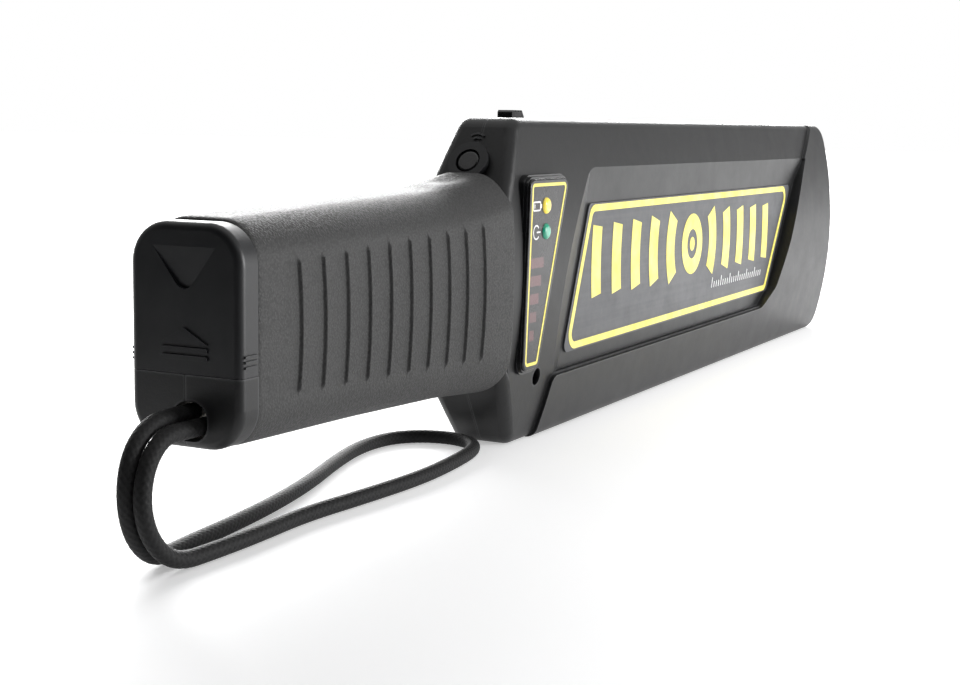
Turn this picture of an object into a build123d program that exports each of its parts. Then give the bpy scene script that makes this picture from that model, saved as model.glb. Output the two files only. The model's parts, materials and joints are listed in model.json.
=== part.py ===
from build123d import *
import math
import os

# Hand-held metal detector wand: a flat crowned paddle with a search coil inside, and a handle
# behind it that carries the battery. +X points to the nose, the face with the lights looks
# along -Y, +Z is up. The wand stands on the paddle's lower edge, and the origin is the centre of
# its box, on that surface. All sizes are millimetres.

# ---- driving dimensions -------------------------------------------------------------------
nose_x = 207.5                   # half of the wand's length of 415
paddle_h = 83.0                  # height of the paddle, which stands on z = 0
mid_z = paddle_h / 2
rear_x = -85.0                   # where the paddle's long edges end, at the shoulders
neck_x = -97.6                   # where the shoulders meet the handle
shoulder_z = 61.7                # upper end of the slanted shoulder, mirrored below the middle
edge_y = 7.75                    # half thickness at the top and bottom edges
crown_y = 13.05                  # half thickness in the middle
edge_r = 3.0                     # rounding of the long edges
raise_y = 1.2                    # how far the lower band and the nose stand proud
wall = 2.2
cavity_y = 7.3                   # half thickness of the hollow under the nameplates

pocket_y = 9.6                   # depth plane of the pocket that holds a nameplate
plate_t = 0.5

core_y = 10.4                    # half thickness of the handle's inner tube
core_z = (22.6, 62.0)
core_r = 5.0
bay_y = 8.85                     # half width of the battery bay
bay_z = (34.2, 60.8)
core_end_x = -201.9              # end of the grip, start of the end cap
cap_x = -207.5
cap_y = 12.7
cap_z = (20.4, 62.7)
cap_r = 8.0
seam_z = 34.4                    # the battery door is above this height
door_gap = 0.1
rail_x = (-205.0, -203.6)        # the lip that the door's hooks run behind
rail_y = 11.2
rail_r = 6.6                     # rounding of the lip's upper corners

hole_c = (-1.05, 25.6)           # y and z of the lanyard hole's centre
hole_size = (8.0, 7.6)
hole_depth_x = -201.95
anchor_t = 2.0

button_c = (-92.01, 0.8, 71.64)
button_n = (-0.857, 0, 0.514)
button_ring_d = 10.5
button_cap_d = 6.0

switch_x = -71.0
switch_travel = 2.5

bezel_corners = [(-87.4, 68.0), (-63.6, 68.0), (-80.8, 20.1), (-90.0, 20.1)]
bezel_r = 2.4
port_c = (-76.2, 17.0)           # x and z of the sounder's port
screw_spots = [(-28.0, 9.5), (-28.0, 76.5), (196.0, 12.0), (196.0, 71.0)]

cord_d = 3.4                     # lanyard

os.makedirs("parts", exist_ok=True)


def save(piece, label):
    """Labels a finished piece and writes it to its own file."""
    piece.label = label
    export_step(piece, f"parts/{label}.step")


# ---- the housing: one body that is cut in two along its middle plane ----------------------
def crowned_slab(start_x, length, extra):
    """Bar along X whose two broad faces are shallow arcs, as thick as the paddle plus extra."""
    edge = edge_y + extra
    middle = crown_y + extra
    with BuildPart() as slab:
        with BuildSketch(Plane.YZ.offset(start_x)):
            with BuildLine():
                ThreePointArc((-edge, 0), (-middle, mid_z), (-edge, paddle_h))
                Line((-edge, paddle_h), (edge, paddle_h))
                ThreePointArc((edge, paddle_h), (middle, mid_z), (edge, 0))
                Line((edge, 0), (-edge, 0))
            make_face()
        extrude(amount=length)
    return slab.part


# the paddle's outline from the side: slanted shoulders, long edges and a slightly bowed nose
with BuildPart() as outline:
    with BuildSketch(Plane.XZ.offset(-20)):
        with BuildLine():
            shoulders = Polyline(
                (nose_x - 3.0, paddle_h), (rear_x, paddle_h), (neck_x, shoulder_z),
                (neck_x, paddle_h - shoulder_z), (rear_x, 0), (nose_x - 3.0, 0),
            )
            ThreePointArc(shoulders @ 1, (nose_x, mid_z), shoulders @ 0)
        make_face()
    extrude(amount=40)
    fillet(outline.edges().filter_by(Axis.Y).group_by(Axis.X)[-1], radius=8.0)
    fillet(outline.edges().filter_by(Axis.Y).group_by(Axis.X)[1], radius=5.0)

with BuildPart() as paddle:
    add(crowned_slab(-110, 330, 0))
    add(outline.part, mode=Mode.INTERSECT)
    fillet([edge for edge in paddle.edges() if abs(edge.center().Y) > edge_y - 0.5], radius=edge_r)

# the raised band along the lower edge, which turns up into the nose
with BuildPart() as raised:
    add(crowned_slab(-80, 300, raise_y))
    add(outline.part, mode=Mode.INTERSECT)
    fillet([edge for edge in raised.edges() if abs(edge.center().Y) > edge_y and edge.center().X > -75],
           radius=edge_r)
    with BuildSketch(Plane.XZ.offset(-20)):
        with BuildLine():
            Polyline(
                (-72.1, -1), (-67.2, 16.0), (119.0, 16.0), (132.0, 22.8), (146.0, 39.8), (156.4, 54.4),
                (164.6, 64.4), (170.6, 70.1), (189.5, 84), (215, 84), (215, -1), close=True,
            )
        make_face()
    extrude(amount=40, mode=Mode.INTERSECT)
    fillet(raised.edges().filter_by(Axis.Y).sort_by_distance((125, 0, 18))[:2], radius=9.0)
    fillet(raised.edges().filter_by(Axis.Y).sort_by_distance((-67.2, 0, 16))[0], radius=3.0)

# lower half of the end cap
with BuildPart() as low_cap:
    with BuildSketch(Plane.YZ.offset(cap_x)):
        with Locations((0, sum(cap_z) / 2)):
            RectangleRounded(2 * cap_y, cap_z[1] - cap_z[0], cap_r)
        with Locations((0, seam_z + 20)):
            Rectangle(2 * cap_y + 2, 40, mode=Mode.SUBTRACT)
    extrude(amount=core_end_x - cap_x)
    fillet(low_cap.faces().sort_by(Axis.X)[0].edges().sort_by(Axis.Z)[:-1], radius=1.6)

with BuildPart() as wand_body:
    add(paddle.part)
    add(raised.part)
    # inner tube of the handle
    with BuildSketch(Plane.YZ.offset(core_end_x)):
        with Locations((0, sum(core_z) / 2)):
            RectangleRounded(2 * core_y, core_z[1] - core_z[0], core_r)
    extrude(amount=neck_x + 4 - core_end_x)
    add(low_cap.part)
    # frame of the battery opening, with the lip that holds the door
    for half, length in ((core_y, core_end_x - rail_x[0]), (rail_y, rail_x[1] - rail_x[0])):
        with BuildSketch(Plane.YZ.offset(rail_x[0])) as lip:
            with Locations((0, (seam_z + bay_z[1]) / 2)):
                Rectangle(2 * half, bay_z[1] - seam_z + 0.2)
            fillet(lip.vertices().group_by(Axis.Y)[-1], radius=rail_r)
        extrude(amount=length)

# pocket for a nameplate on the front, with a long slope behind it and a shallow one above it
with BuildPart() as pocket:
    with BuildSketch(Plane.XZ.offset(pocket_y)) as pocket_face:
        with BuildLine():
            Polyline((-48.7, 63.5), (-74.0, 34.0), (-74.0, 16.6), (120.5, 16.6), (133.4, 22.6),
                     (147.3, 39.6), (157.6, 54.4), (165.6, 64.2), (171.5, 70.1), (-39.5, 70.1))
            ThreePointArc((-39.5, 70.1), (-44.6, 68.0), (-48.7, 63.5))
        make_face()
        fillet(pocket_face.vertices().sort_by(Axis.X)[4:6], radius=7.0)
    extrude(amount=8)
    split(bisect_by=Plane(origin=(-50.5, -pocket_y, 40), x_dir=(16.1, 0, 41), z_dir=(-0.255, 0.961, 0.1)),
          keep=Keep.BOTTOM)
    split(bisect_by=Plane(origin=(0, -pocket_y, 60.3), x_dir=(1, 0, 0), z_dir=(0, 0.995, 0.0945)),
          keep=Keep.BOTTOM)

with BuildPart() as hollow:
    with BuildSketch(Plane.XZ.offset(-cavity_y)):
        with BuildLine():
            Polyline((-62, 2.4), (198, 2.4), (204.2, 12), (204.2, 71), (198, 80.6), (-62, 80.6), (-62, 2.4))
        make_face()
    extrude(amount=2 * cavity_y)
    # behind the pocket the hollow follows the crowned walls
    add(crowned_slab(-95.2, 22.7, -wall))
    with BuildSketch(Plane.XZ.offset(-20)):
        with BuildLine():
            Polyline((-95.2, 22), (-83.8, 2.4), (205, 2.4), (205, 80.6), (-83.8, 80.6), (-95.2, 61),
                     (-95.2, 22))
        make_face()
    extrude(amount=40, mode=Mode.INTERSECT)
    with BuildSketch(Plane.XZ.offset(-cavity_y)):
        with Locations((-67.5, mid_z)):
            Rectangle(12, paddle_h - 4.8)
    extrude(amount=2 * cavity_y)
    # battery bay and the way for its leads
    with BuildSketch(Plane.YZ.offset(rail_x[0] - 1)):
        with Locations((0, sum(bay_z) / 2)):
            RectangleRounded(2 * bay_y, bay_z[1] - bay_z[0], 2.4)
    extrude(amount=-94 - rail_x[0] + 1)

with BuildPart() as openings:
    # window under the light bezel
    with BuildSketch(Plane.XZ.offset(5)):
        with BuildLine():
            Polyline(*bezel_corners, close=True)
        make_face()
        fillet(vertices(), radius=bezel_r)
        offset(amount=-0.9)
    extrude(amount=15)
    # lanyard hole
    with BuildSketch(Plane.YZ.offset(cap_x - 1)):
        with Locations(hole_c):
            RectangleRounded(hole_size[0], hole_size[1], 3.4)
    extrude(amount=hole_depth_x - cap_x + 1)
    # hole for the push button on the shoulder
    with BuildSketch(Plane(origin=button_c, z_dir=button_n).offset(-6)):
        Circle(radius=4.45)
    extrude(amount=8)
    # slot for the slide switch
    with BuildSketch(Plane.XY.offset(paddle_h - 3)):
        with Locations((switch_x, 0)):
            SlotOverall(10.4, 3.0)
    extrude(amount=4)
    # port of the sounder
    with BuildSketch(Plane.XZ.offset(5)):
        with Locations(port_c):
            Circle(radius=2.25)
    extrude(amount=10)

with BuildPart() as bosses:
    with BuildSketch(Plane.XZ.offset(-cavity_y - 0.5)):
        with Locations(*screw_spots):
            Circle(radius=3.6)
    extrude(amount=2 * cavity_y + 1)

with BuildPart() as screw_room:
    with BuildSketch(Plane.XZ.offset(-20)):
        with Locations(*screw_spots):
            Circle(radius=3.0)
    extrude(amount=12.5)
    with BuildSketch(Plane.XZ.offset(-10)):
        with Locations(*screw_spots):
            Circle(radius=1.5)
    extrude(amount=16)

with BuildPart() as housing:
    add(wand_body.part)
    add(pocket.part, mode=Mode.SUBTRACT)
    mirror(pocket.part, about=Plane.XZ, mode=Mode.SUBTRACT)
    add(hollow.part, mode=Mode.SUBTRACT)
    add(bosses.part)
    add(openings.part, mode=Mode.SUBTRACT)
    add(screw_room.part, mode=Mode.SUBTRACT)

with BuildPart() as front_shell:
    add(housing.part)
    split(bisect_by=Plane.XZ, keep=Keep.TOP)
save(front_shell.part, "front_shell")

with BuildPart() as rear_shell:
    add(housing.part)
    split(bisect_by=Plane.XZ, keep=Keep.BOTTOM)
save(rear_shell.part, "rear_shell")

# ---- rubber grip ---------------------------------------------------------------------------
# sections along the sleeve: x, lowest z, highest z, half thickness, corner radius
grip_sections = [
    (core_end_x, 20.2, 63.4, 12.7, 8.4),
    (-160.0, 19.2, 64.9, 13.2, 9.3),
    (-121.0, 17.4, 66.2, 14.0, 9.6),
    (-108.0, 16.2, 68.6, 14.6, 10.0),
    (-93.0, 15.2, 70.2, 14.7, 10.0),
]
rib_count = 10
rib_pitch = 8.4
rib_first_x = -188.8
rib_proud = 0.7

with BuildPart() as rubber_grip:
    for x, low, high, half, corner in grip_sections:
        with BuildSketch(Plane.YZ.offset(x)):
            with Locations((0, (low + high) / 2)):
                RectangleRounded(2 * half, high - low, corner)
    loft(ruled=True)
    # raised ribs on both sides, each a shallow bowed bar
    for number in range(rib_count):
        x = rib_first_x + number * rib_pitch
        share = number / (rib_count - 1)
        half = 12.7 + 1.42 * share
        with BuildSketch(Plane.XZ.offset(-half - rib_proud)):
            with Locations((x, 42.2)):
                SlotOverall(25.4 + 5.8 * share, 2.0, rotation=90)
        extrude(amount=2 * (half + rib_proud))
    # scoop for the thumb around the push button
    with BuildSketch(Plane(origin=button_c, z_dir=button_n).offset(-2)):
        Circle(radius=6.6)
    extrude(amount=12, taper=-18, mode=Mode.SUBTRACT)
    add(paddle.part, mode=Mode.SUBTRACT)
    with BuildSketch(Plane.YZ.offset(core_end_x - 1)):
        with Locations((0, sum(core_z) / 2)):
            RectangleRounded(2 * core_y, core_z[1] - core_z[0], core_r)
    extrude(amount=120, mode=Mode.SUBTRACT)
save(rubber_grip.part, "rubber_grip")

# ---- battery door ----------------------------------------------------------------------------
with BuildPart() as thumb_recess:
    with BuildSketch(Plane.YZ.offset(cap_x - 1)) as recess:
        with BuildLine():
            Polyline((0, 48.8), (7.6, 58.8), (-7.6, 58.8), close=True)
        make_face()
        fillet(recess.vertices().sort_by(Axis.Y)[0], radius=2.4)
    extrude(amount=2.2)
    split(bisect_by=Plane(origin=(cap_x, 0, 58.2), x_dir=(0, 1, 0), z_dir=(0.995, 0, 0.1)), keep=Keep.BOTTOM)

with BuildPart() as battery_door:
    with BuildSketch(Plane.YZ.offset(cap_x)):
        with Locations((0, sum(cap_z) / 2)):
            RectangleRounded(2 * cap_y, cap_z[1] - cap_z[0], cap_r)
        with Locations((0, seam_z + door_gap - 20)):
            Rectangle(2 * cap_y + 2, 40, mode=Mode.SUBTRACT)
    extrude(amount=core_end_x - cap_x - 0.15)
    fillet(battery_door.faces().sort_by(Axis.X)[0].edges().sort_by(Axis.Z)[1:], radius=1.6)
    # room for the opening's frame and its lip, open below
    for x, half, length in (
        (rail_x[0] - 0.25, rail_y, rail_x[1] - rail_x[0] + 0.5),
        (rail_x[1], core_y, core_end_x - rail_x[1]),
    ):
        with BuildSketch(Plane.YZ.offset(x)) as room:
            with Locations((0, (seam_z + bay_z[1]) / 2 - 1)):
                Rectangle(2 * half + 0.5, bay_z[1] - seam_z + 2.6)
            fillet(room.vertices().group_by(Axis.Y)[-1], radius=rail_r)
        extrude(amount=length, mode=Mode.SUBTRACT)
    # thumb recess, a rounded triangle that points down and grows deeper towards its point
    add(thumb_recess.part, mode=Mode.SUBTRACT)
    # arrow and two bars that show which way the door slides
    with BuildSketch(Plane.YZ.offset(cap_x - 0.35)):
        with BuildLine():
            Polyline((-5.4, 40.2), (5.4, 40.2), (0, 43.2), close=True)
        make_face()
        with Locations((0, 39.1), (0, 37.6)):
            SlotOverall(10.8, 0.9)
    extrude(amount=1.0)
    # grip ridges on both sides near the seam
    with BuildSketch(Plane.XZ.offset(-cap_y - 0.3)):
        with Locations((-204.5, 36.4), (-204.5, 37.4), (-204.5, 38.4)):
            SlotOverall(4.0, 0.5)
    extrude(amount=0.8)
    with BuildSketch(Plane.XZ.offset(cap_y - 0.45)):
        with Locations((-204.5, 36.4), (-204.5, 37.4), (-204.5, 38.4)):
            SlotOverall(4.0, 0.5)
    extrude(amount=0.8)
save(battery_door.part, "battery_door")

# ---- battery, its snap connector and leads ---------------------------------------------------
battery_x = (-201.4, -154.9)
battery_z = sum(bay_z) / 2
with BuildPart() as battery_9v:
    with BuildSketch(Plane.YZ.offset(battery_x[0])):
        with Locations((0, battery_z)):
            RectangleRounded(17.4, 26.4, 2.4)
    extrude(amount=battery_x[1] - battery_x[0])
    chamfer(battery_9v.faces().sort_by(Axis.X)[0].edges(), length=0.5)
save(battery_9v.part, "battery_9v")

terminal_pitch = 12.7
terminal_h = 2.8
with BuildPart() as battery_terminals:
    with BuildSketch(Plane.YZ.offset(battery_x[1])):
        with Locations((0, battery_z - terminal_pitch / 2)):
            RegularPolygon(radius=4.2, side_count=6)
    extrude(amount=terminal_h)
    with BuildSketch(Plane.YZ.offset(battery_x[1])):
        with Locations((0, battery_z + terminal_pitch / 2)):
            Circle(radius=2.85)
    extrude(amount=terminal_h)
save(battery_terminals.part, "battery_terminals")

snap_x = battery_x[1] + terminal_h
with BuildPart() as battery_snap:
    with BuildSketch(Plane.YZ.offset(snap_x)):
        with Locations((0, battery_z)):
            RectangleRounded(15.5, 25.0, 3.0)
    extrude(amount=3.4)
    fillet(battery_snap.faces().sort_by(Axis.X)[-1].edges(), radius=0.8)
save(battery_snap.part, "battery_snap")

lead_start_x = snap_x + 3.4
board_y = -5.2
board_t = 1.6
connector_x = (-91.0, -84.5)
connector_z = 40.0
for colour, side in (("red", 1), ("black", -1)):
    with BuildPart() as battery_lead:
        with BuildLine() as lead_path:
            FilletPolyline(
                (lead_start_x, 3.0 * side, battery_z + 2.0 * side),
                (-138.0, 3.0 * side, battery_z + 2.0 * side),
                (-116.0, 1.5 + 2.4 * side, 43.0 + 3.0 * side),
                (-100.0, -1.9, connector_z + 1.3 * side),
                (connector_x[0], -1.9, connector_z + 1.3 * side),
                radius=8.0,
            )
        with BuildSketch(Plane(origin=lead_path.line @ 0, z_dir=lead_path.line % 0)):
            Circle(radius=0.7)
        sweep()
    save(battery_lead.part, f"battery_lead_{colour}")

# ---- lights ----------------------------------------------------------------------------------
panel_y = 13.6
led_d = 4.2
lamp_spots = {"battery_led": (-77.8, 61.2), "power_led": (-77.7, 54.7)}
bar_left = -86.6
bar_ends = [(-78.8, 47.0), (-80.1, 42.5), (-81.4, 38.0), (-82.6, 33.4), (-83.9, 28.8)]
bar_h = 2.6

with BuildPart() as indicator_bezel:
    # three tiers, each smaller than the one under it
    for depth, grow, height in ((6.2, -1.0, 3.8), (10.0, 1.0, 2.5), (12.5, 0.5, 0.8), (13.3, 0.0, 0.6)):
        with BuildSketch(Plane.XZ.offset(depth)):
            with BuildLine():
                Polyline(*bezel_corners, close=True)
            make_face()
            fillet(vertices(), radius=bezel_r)
            offset(amount=grow)
        extrude(amount=height)
    fillet(indicator_bezel.faces().sort_by(Axis.Y)[0].edges(), radius=0.4)
    # seat of the panel, and the way through for the lamps
    for depth, inset, height in ((panel_y - 0.9, 1.1, 3.0), (0.0, 1.4, 15.0)):
        with BuildSketch(Plane.XZ.offset(depth)):
            with BuildLine():
                Polyline(*bezel_corners, close=True)
            make_face()
            fillet(vertices(), radius=bezel_r)
            offset(amount=-inset)
        extrude(amount=height, mode=Mode.SUBTRACT)
    # the bezel sits on the crowned wall, so what would be inside the wall is left out
    add(front_shell.part, mode=Mode.SUBTRACT)
save(indicator_bezel.part, "indicator_bezel")

with BuildPart() as indicator_panel:
    with BuildSketch(Plane.XZ.offset(panel_y - 0.9)):
        with BuildLine():
            Polyline(*bezel_corners, close=True)
        make_face()
        fillet(vertices(), radius=bezel_r)
        offset(amount=-1.1)
    extrude(amount=1.1)
    with BuildSketch(Plane.XZ.offset(0)):
        with Locations(*lamp_spots.values()):
            Circle(radius=led_d / 2)
        for right, z in bar_ends:
            with Locations(((bar_left + right) / 2, z)):
                Rectangle(right - bar_left, bar_h)
    extrude(amount=20, mode=Mode.SUBTRACT)
save(indicator_panel.part, "indicator_panel")

for label, spot in lamp_spots.items():
    with BuildPart() as lamp:
        with BuildSketch(Plane.XZ.offset(panel_y - 5.0)):
            with Locations(spot):
                Circle(radius=led_d / 2)
        extrude(amount=5.9)
        fillet(lamp.faces().sort_by(Axis.Y)[0].edges(), radius=0.9)
    save(lamp.part, label)

with BuildPart() as alarm_light_bars:
    for right, z in bar_ends:
        with BuildSketch(Plane.XZ.offset(panel_y - 2.4)):
            with Locations(((bar_left + right) / 2, z)):
                Rectangle(right - bar_left, bar_h)
        extrude(amount=2.6)
save(alarm_light_bars.part, "alarm_light_bars")

with BuildPart() as light_guide:
    with BuildSketch(Plane.XZ.offset(-board_y + board_t / 2)):
        with BuildLine():
            Polyline((-86.0, 27.0), (-84.3, 27.0), (-80.0, 49.0), (-86.0, 49.0), close=True)
        make_face()
    extrude(amount=panel_y - 2.4 + board_y - board_t / 2)
    for right, z in bar_ends:
        with BuildSketch(Plane.XZ.offset(-board_y + board_t / 2)):
            with Locations((bar_left + 1.6, z + 2.25)):
                Rectangle(3.4, 0.5)
        extrude(amount=4.0, mode=Mode.SUBTRACT)
save(light_guide.part, "light_guide")

# ---- circuit board ---------------------------------------------------------------------------
board_x = (-83.5, -32.5)
with BuildPart() as circuit_board:
    with BuildSketch(Plane.XZ.offset(-board_y - board_t / 2)):
        with Locations((sum(board_x) / 2, 46.3)):
            RectangleRounded(board_x[1] - board_x[0], 45.4, 2.0)
        with Locations((-88.0, 43.0)):
            Rectangle(11.0, 40.0)
        with Locations((-36.0, 27.0), (-36.0, 65.5), (-80.0, 65.5)):
            Circle(radius=1.3, mode=Mode.SUBTRACT)
    extrude(amount=board_t)
save(circuit_board.part, "circuit_board")

back_of_board = board_y + board_t / 2
with BuildPart() as microcontroller:
    with BuildSketch(Plane.XZ.offset(-back_of_board)):
        with Locations((-56.0, 46.0)):
            Rectangle(9.0, 9.0)
    extrude(amount=-1.5)
    chamfer(microcontroller.faces().sort_by(Axis.Y)[-1].edges(), length=0.3)
save(microcontroller.part, "microcontroller")

with BuildPart() as board_capacitors:
    with BuildSketch(Plane.XZ.offset(-back_of_board)):
        with Locations((-70.0, 58.0), (-62.0, 60.0), (-44.0, 30.0)):
            Circle(radius=2.6)
    extrude(amount=-6.0)
    fillet(board_capacitors.faces().group_by(Axis.Y)[-1].edges(), radius=0.4)
save(board_capacitors.part, "board_capacitors")

with BuildPart() as board_connector:
    with BuildSketch(Plane.XZ.offset(-back_of_board)):
        with Locations((sum(connector_x) / 2, connector_z)):
            Rectangle(connector_x[1] - connector_x[0], 8.0)
    extrude(amount=-5.0)
    chamfer(board_connector.faces().sort_by(Axis.Y)[-1].edges(), length=0.4)
save(board_connector.part, "board_connector")

# ---- power slide switch ----------------------------------------------------------------------
switch_body_top = paddle_h - 2.4
with BuildPart() as power_switch_body:
    with BuildSketch(Plane.XY.offset(switch_body_top - 6.0)):
        with Locations((switch_x, 0)):
            Rectangle(16.0, 6.4)
    extrude(amount=6.0)
    with BuildSketch(Plane.XY.offset(switch_body_top - 3.6)):
        with Locations((switch_x, 0)):
            Rectangle(10.4, 3.0)
    extrude(amount=4.0, mode=Mode.SUBTRACT)
save(power_switch_body.part, "power_switch_body")

with BuildPart() as power_switch_knob:
    with BuildSketch(Plane.XY.offset(switch_body_top - 3.2)):
        with Locations((switch_x, 0)):
            Rectangle(4.4, 2.2)
    extrude(amount=6.2)
    with BuildSketch(Plane(origin=(switch_x, 2.1, paddle_h + 0.1), x_dir=(1, 0, 0), z_dir=(0, -1, 0))):
        with BuildLine():
            Polyline((-3.5, 0), (3.7, 0), (2.2, 1.9), (-3.0, 1.9), (-3.5, 1.4), close=True)
        make_face()
    extrude(amount=4.2)
    with BuildSketch(Plane.XZ.offset(-2.2)):
        with Locations((switch_x - 1.6, paddle_h + 2.1), (switch_x, paddle_h + 2.1),
                       (switch_x + 1.4, paddle_h + 2.1)):
            Rectangle(0.5, 0.9)
    extrude(amount=4.4, mode=Mode.SUBTRACT)
save(power_switch_knob.part, "power_switch_knob")

# ---- push button on the shoulder ---------------------------------------------------------------
shoulder = Plane(origin=button_c, z_dir=button_n)
with BuildPart() as button_ring:
    with BuildSketch(shoulder):
        Circle(radius=button_ring_d / 2)
    extrude(amount=1.5)
    with BuildSketch(shoulder.offset(-3.2)):
        Circle(radius=4.4)
    extrude(amount=3.2)
    with BuildSketch(shoulder.offset(-4)):
        Circle(radius=button_cap_d / 2 + 0.2)
    extrude(amount=6, mode=Mode.SUBTRACT)
save(button_ring.part, "button_ring")

with BuildPart() as sensitivity_button:
    with BuildSketch(shoulder.offset(-4.4)):
        Circle(radius=2.6)
    extrude(amount=4.4)
    with BuildSketch(shoulder.offset(-4.4)):
        Circle(radius=4.2)
    extrude(amount=0.9)
    with BuildSketch(shoulder.offset(-3.2)):
        Circle(radius=button_cap_d / 2 - 0.05)
    extrude(amount=4.5)
    fillet(sensitivity_button.edges().filter_by(GeomType.CIRCLE).sort_by(
        lambda rim: (rim.center() - shoulder.origin).dot(shoulder.z_dir))[-1], radius=0.6)
save(sensitivity_button.part, "sensitivity_button")

with BuildPart() as button_tact_switch:
    with BuildSketch(shoulder.offset(-10.2)):
        Rectangle(6.0, 6.0)
    extrude(amount=3.4)
    with BuildSketch(shoulder.offset(-6.8)):
        Circle(radius=1.7)
    extrude(amount=1.0)
save(button_tact_switch.part, "button_tact_switch")

# ---- nameplates --------------------------------------------------------------------------------
plate_corners = [(-41.1, 60.2), (157.2, 60.2), (130.2, 21.4), (-57.0, 20.6)]
for label, plane in (
    ("front_nameplate", Plane.XZ.offset(pocket_y)),
    ("rear_nameplate", Plane.XZ.offset(-pocket_y - plate_t)),
):
    with BuildPart() as nameplate:
        with BuildSketch(plane):
            with BuildLine():
                Polyline(*plate_corners, close=True)
            make_face()
            fillet(vertices(), radius=2.0)
        extrude(amount=plate_t)
    save(nameplate.part, label)

# ---- search coil -------------------------------------------------------------------------------
coil_c = (88.0, mid_z)
coil_size = (192.0, 60.0)
coil_w = 8.0
with BuildPart() as search_coil_former:
    for depth, extra, thick in ((-4.0, 0.0, 1.2), (-2.8, -2.6, 5.6), (2.8, 0.0, 1.2)):
        with BuildSketch(Plane.XZ.offset(depth)):
            with Locations(coil_c):
                RectangleRounded(coil_size[0] + 2 * extra, coil_size[1] + 2 * extra, 16.0 + extra)
                RectangleRounded(coil_size[0] - 2 * coil_w, coil_size[1] - 2 * coil_w, 8.0,
                                 mode=Mode.SUBTRACT)
        extrude(amount=thick)
save(search_coil_former.part, "search_coil_former")

with BuildPart() as search_coil_winding:
    with BuildSketch(Plane.XZ.offset(-2.8)):
        with Locations(coil_c):
            RectangleRounded(coil_size[0] - 0.6, coil_size[1] - 0.6, 15.7)
            RectangleRounded(coil_size[0] - 5.2, coil_size[1] - 5.2, 13.4, mode=Mode.SUBTRACT)
    extrude(amount=5.6)
save(search_coil_winding.part, "search_coil_winding")

# ---- sounder, vibration motor and screws ---------------------------------------------------------
with BuildPart() as sounder:
    with BuildSketch(Plane.XZ.offset(-1.0)):
        with Locations((port_c[0], port_c[1] - 0.5)):
            Circle(radius=5.4)
    extrude(amount=7.0)
    with BuildSketch(Plane.XZ.offset(0)):
        with Locations(port_c):
            Circle(radius=1.2)
    extrude(amount=10, mode=Mode.SUBTRACT)
save(sounder.part, "sounder")

motor_z = 9.5
motor_y = 2.4
motor_x = (-58.0, -44.0)
with BuildPart() as vibration_motor:
    with BuildSketch(Plane.YZ.offset(motor_x[0])):
        with Locations((motor_y, motor_z)):
            Circle(radius=3.5)
    extrude(amount=motor_x[1] - motor_x[0])
    with BuildSketch(Plane.YZ.offset(motor_x[1])):
        with Locations((motor_y, motor_z)):
            Circle(radius=0.5)
    extrude(amount=5.6)
save(vibration_motor.part, "vibration_motor")

with BuildPart() as vibration_motor_boot:
    with BuildSketch(Plane.YZ.offset(motor_x[0] + 2)):
        with Locations((motor_y, motor_z - 1.3)):
            Rectangle(9.4, 11.6)
        with Locations((motor_y, motor_z)):
            Circle(radius=3.5, mode=Mode.SUBTRACT)
    extrude(amount=8.0)
save(vibration_motor_boot.part, "vibration_motor_boot")

with BuildPart() as vibration_weight:
    with BuildSketch(Plane.YZ.offset(motor_x[1] + 1.6)):
        with Locations((motor_y, motor_z)):
            Circle(radius=3.2)
        with Locations((motor_y, motor_z + 3.2)):
            Rectangle(8, 4.4, mode=Mode.SUBTRACT)
        with Locations((motor_y, motor_z)):
            Circle(radius=1.3)
            Circle(radius=0.55, mode=Mode.SUBTRACT)
    extrude(amount=3.4)
save(vibration_weight.part, "vibration_weight")

with BuildPart() as housing_screws:
    with BuildSketch(Plane.XZ.offset(-7.5)):
        with Locations(*screw_spots):
            Circle(radius=2.75)
    extrude(amount=-1.8)
    fillet(housing_screws.faces().group_by(Axis.Y)[-1].edges(), radius=0.6)
    with BuildSketch(Plane.XZ.offset(-7.5)):
        with Locations(*screw_spots):
            Circle(radius=1.48)
    extrude(amount=12.5)
    # cross recess in each head
    with BuildSketch(Plane.XZ.offset(-9.4)):
        with Locations(*screw_spots):
            Rectangle(3.2, 0.7)
            Rectangle(0.7, 3.2)
    extrude(amount=1.3, mode=Mode.SUBTRACT)
save(housing_screws.part, "housing_screws")

# ---- lanyard -----------------------------------------------------------------------------------
# a crimped end block deep in the hole holds both ends of one loop of round cord
with BuildPart() as lanyard_anchor:
    with BuildSketch(Plane.YZ.offset(hole_depth_x - anchor_t)):
        with Locations(hole_c):
            RectangleRounded(hole_size[0] - 0.1, hole_size[1] - 0.1, 3.35)
    extrude(amount=anchor_t)
save(lanyard_anchor.part, "lanyard_anchor")

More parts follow.
